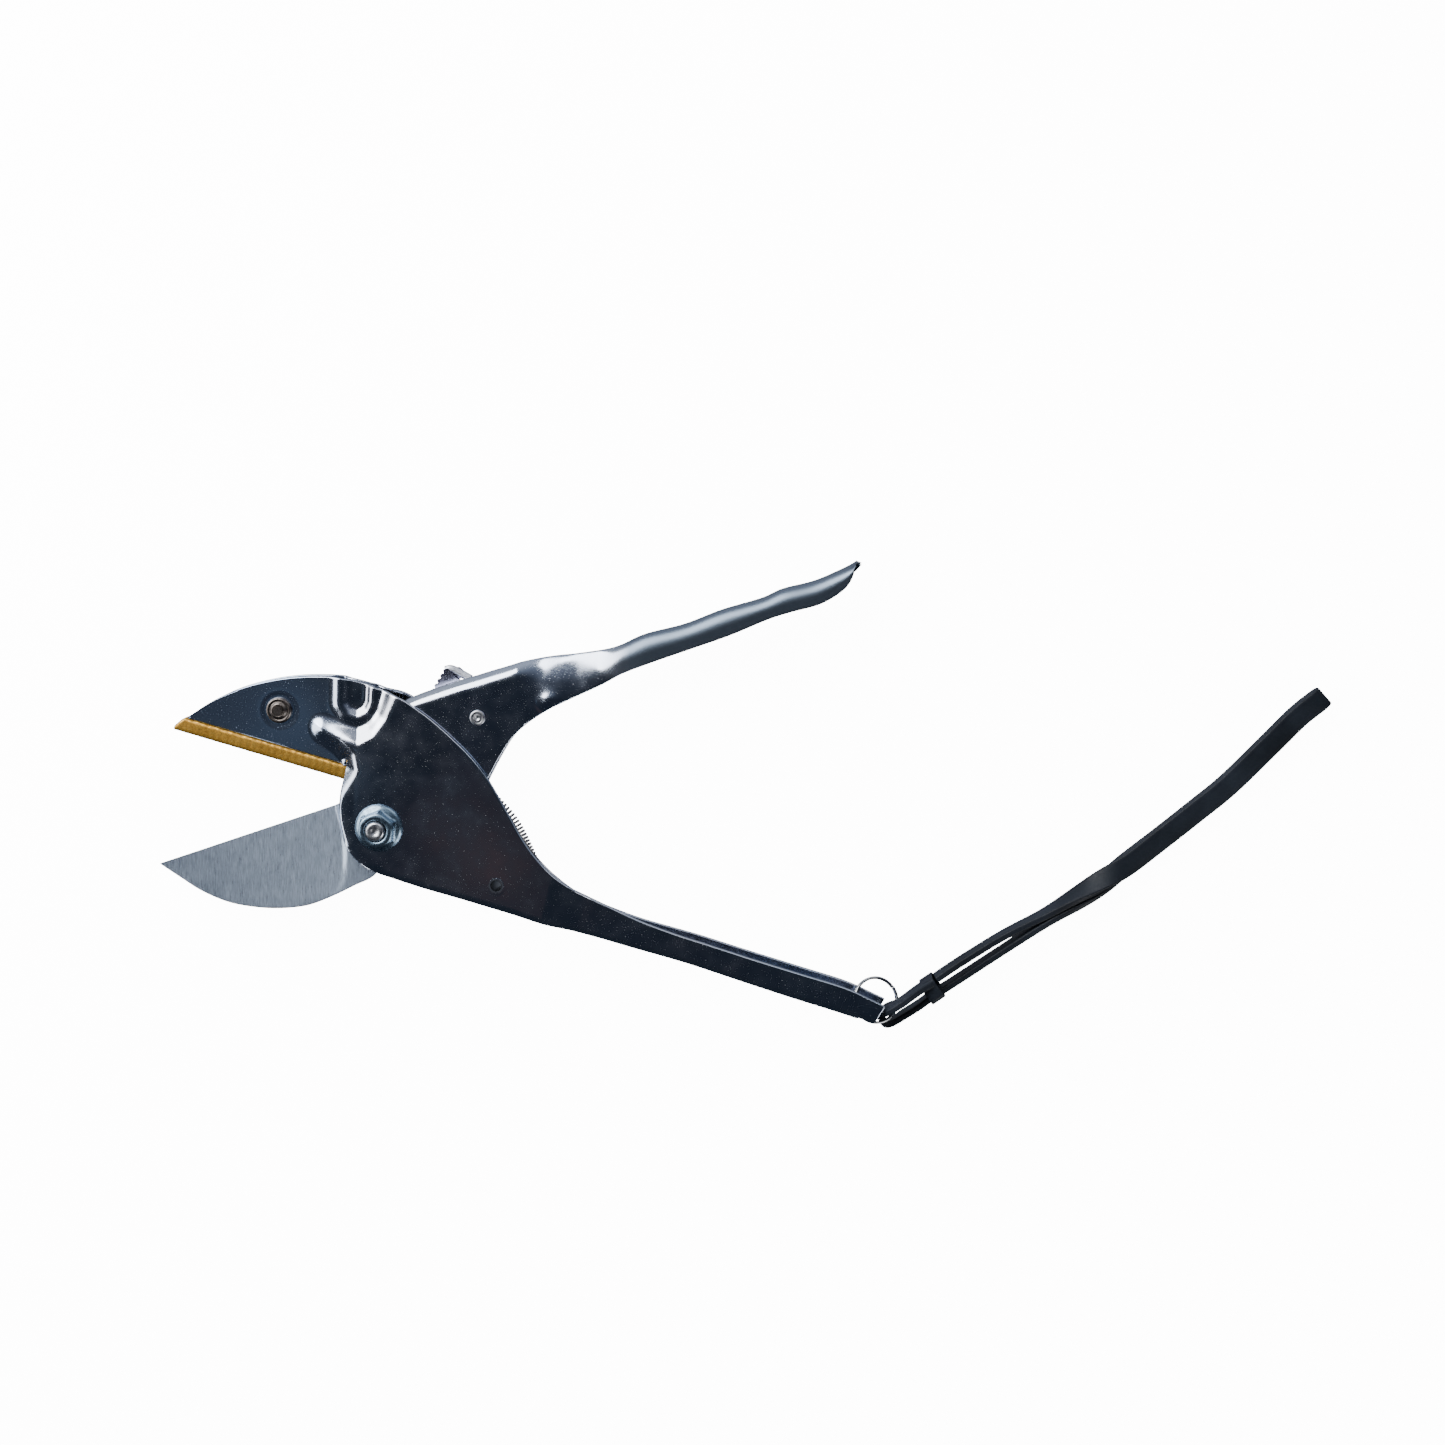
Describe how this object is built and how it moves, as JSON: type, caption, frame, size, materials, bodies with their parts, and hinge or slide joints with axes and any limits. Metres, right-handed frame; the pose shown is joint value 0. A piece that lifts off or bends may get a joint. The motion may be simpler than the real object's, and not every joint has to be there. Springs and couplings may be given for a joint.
{
  "type": "hoof nipper",
  "caption": "Anvil-type hoof nipper lying open: folded steel body with brass anvil, sprung blade lever, side catch, split ring and wrist strap.",
  "frame": {"origin": "on the pivot axis at the flat underside of the pivot bolt's head, the face the tool lies on", "axes": "+Z along the pivot axis, up from the surface it lies on towards the nut; +X from the jaws to the handles; +Y towards the upper handle"},
  "size_m": [0.3478, 0.1419, 0.0208],
  "materials": {
    "plated_body": "bright plated sheet with fine pits",
    "plated_lever": "bright plated sheet",
    "bright_steel": "bright",
    "zinc": "blue-white zinc plate",
    "dull_nickel": "dull nickel",
    "blade_steel": "ground",
    "spring_steel": "drawn wire",
    "ring_nickel": "nickel plated",
    "brass": "cast rough",
    "strap_black": "satin black"
  },
  "bodies": {
    "lower": {"body": "plated_body", "body_eyelet": "bright_steel", "anvil": "brass", "anvil_screw": "dull_nickel", "anvil_nut": "dull_nickel", "pivot_bolt": "bright_steel", "pivot_nut": "zinc", "spring_peg_lower": "bright_steel", "return_spring": "spring_steel"},
    "lever": {"upper_handle": "plated_lever", "blade": "blade_steel", "blade_rivet": "bright_steel", "spacer_front": "blade_steel", "spacer_back": "blade_steel", "spring_peg_upper": "bright_steel", "catch_rivet": "bright_steel", "catch_washer": "bright_steel"},
    "latch": {"catch": "plated_lever"},
    "ring": {"split_ring": "ring_nickel"},
    "strap": {"wrist_strap": "strap_black", "strap_keeper": "strap_black"}
  },
  "joints": [
    {"name": "lever_pivot", "type": "hinge", "parent": "lower", "child": "lever", "pos_m": [0, 0, 0.0085], "axis": [0, 0, 1], "range_deg": [-35, 0], "stiffness_Nm_per_rad": 0.4, "springref_deg": 11.46, "deforming": ["return_spring"]},
    {"name": "catch_pivot", "type": "hinge", "parent": "lever", "child": "latch", "pos_m": [0.0299, 0.0331, 0.003], "axis": [0, 0, 1], "range_deg": [-35, 0]},
    {"name": "ring_turn", "type": "hinge", "parent": "lower", "child": "ring", "pos_m": [0.1481, -0.0525, 0.0074], "axis": [0.332, 0.332, 0.883], "range_deg": [-180, 180]},
    {"name": "strap_swing", "type": "hinge", "parent": "lower", "child": "strap", "pos_m": [0.1481, -0.0525, 0.0074], "axis": [0, 0, 1], "range_deg": [0, 6]}
  ]
}
